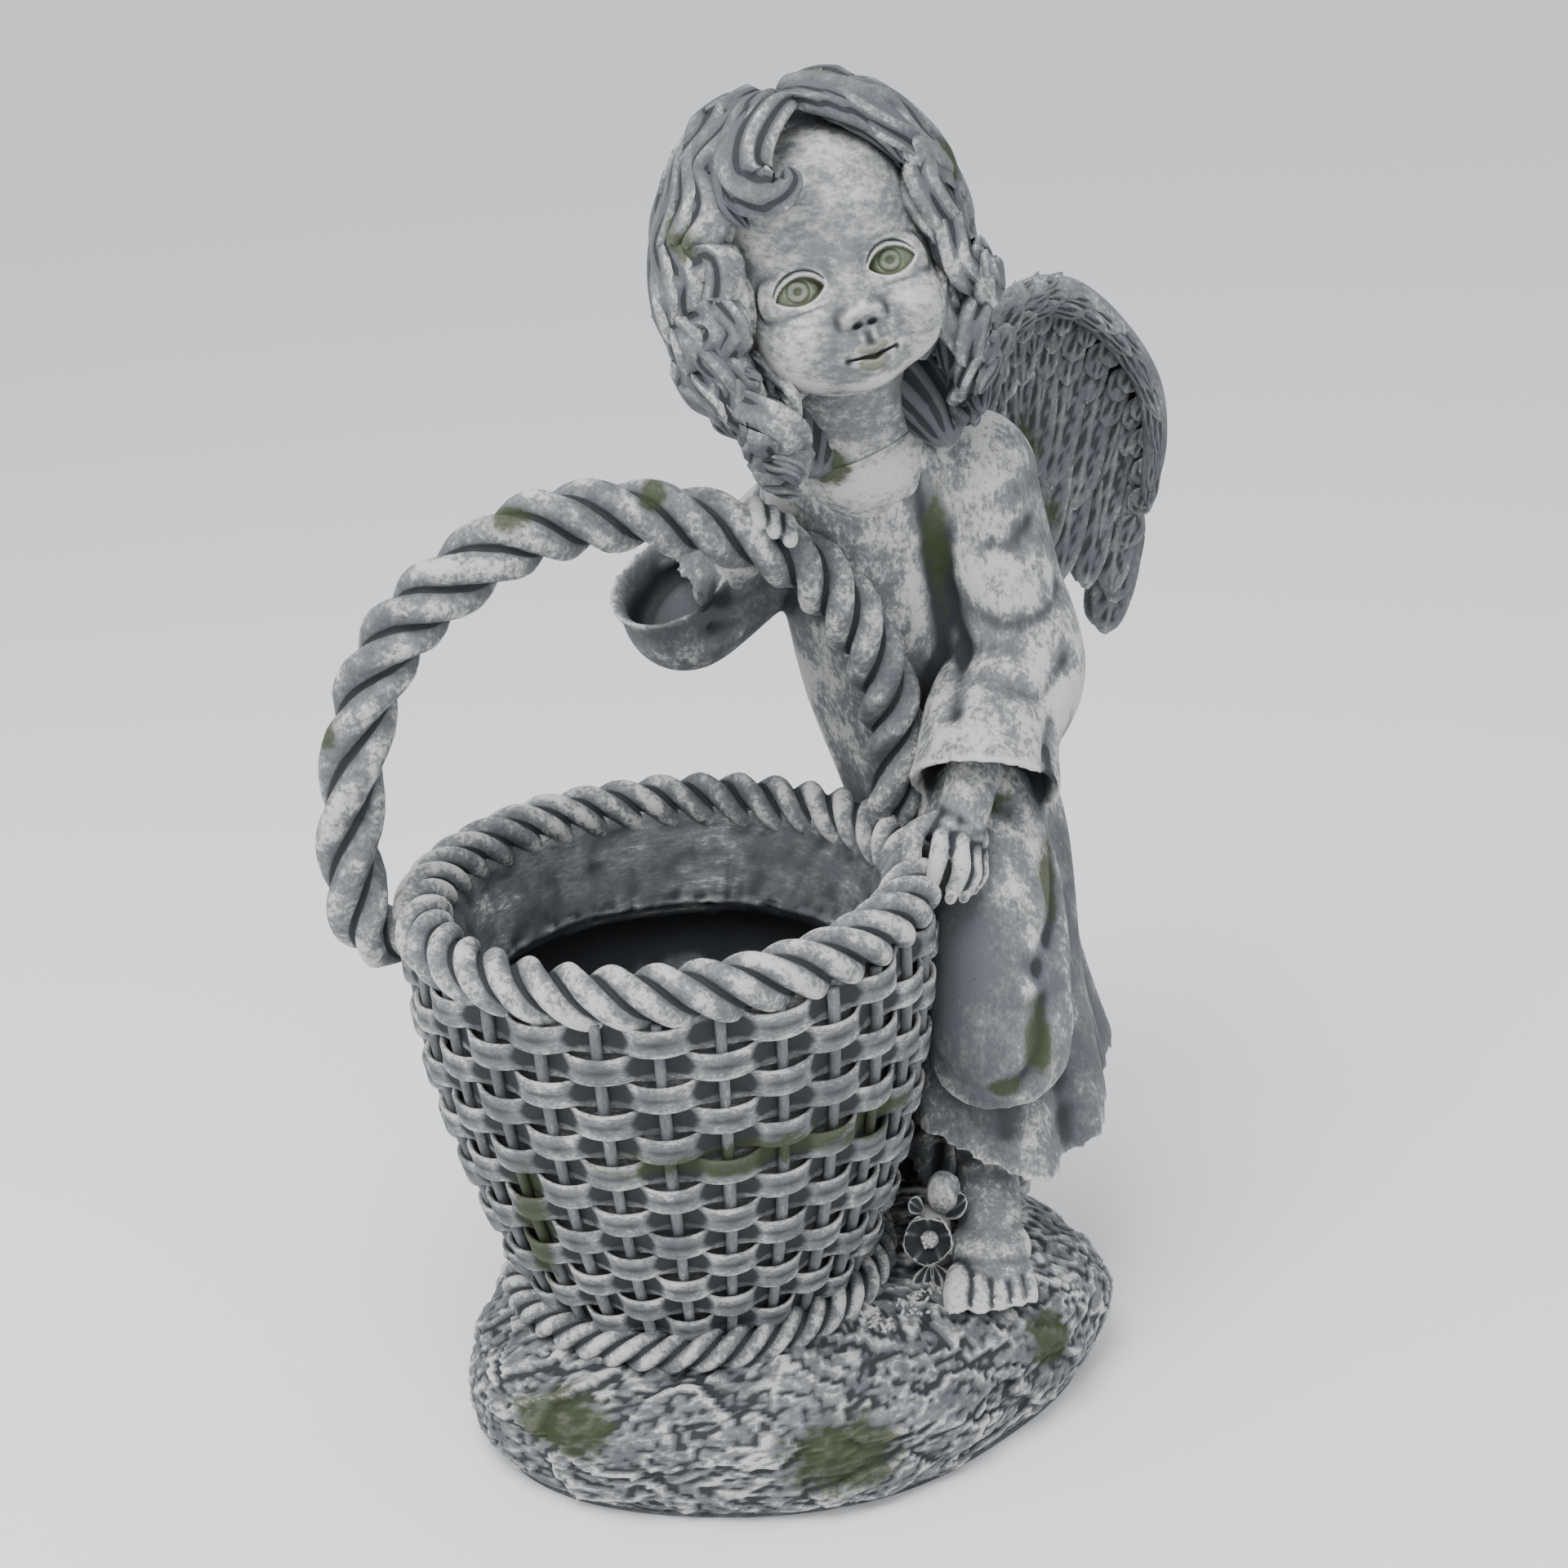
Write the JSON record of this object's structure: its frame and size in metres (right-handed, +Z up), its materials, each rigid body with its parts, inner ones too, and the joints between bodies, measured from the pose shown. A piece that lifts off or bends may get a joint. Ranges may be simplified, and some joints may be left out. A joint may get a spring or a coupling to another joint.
{
  "type": "angel planter",
  "caption": "Garden statue of a winged child beside a wicker basket planter with a rope handle, on a rough oval ground, cast in one piece.",
  "frame": {"origin": "on the flat underside of the ground, below its middle", "axes": "+Z up, -Y towards the front that the child faces, +X towards the child's left side, away from the basket"},
  "size_m": [0.363, 0.328, 0.5583],
  "materials": {
    "angel_planter": "slate-grey cast resin, dry-brushed with whitewash on the raised parts, with moss-green patches"
  },
  "bodies": {
    "root": {"angel_planter": "angel_planter"}
  },
  "joints": []
}
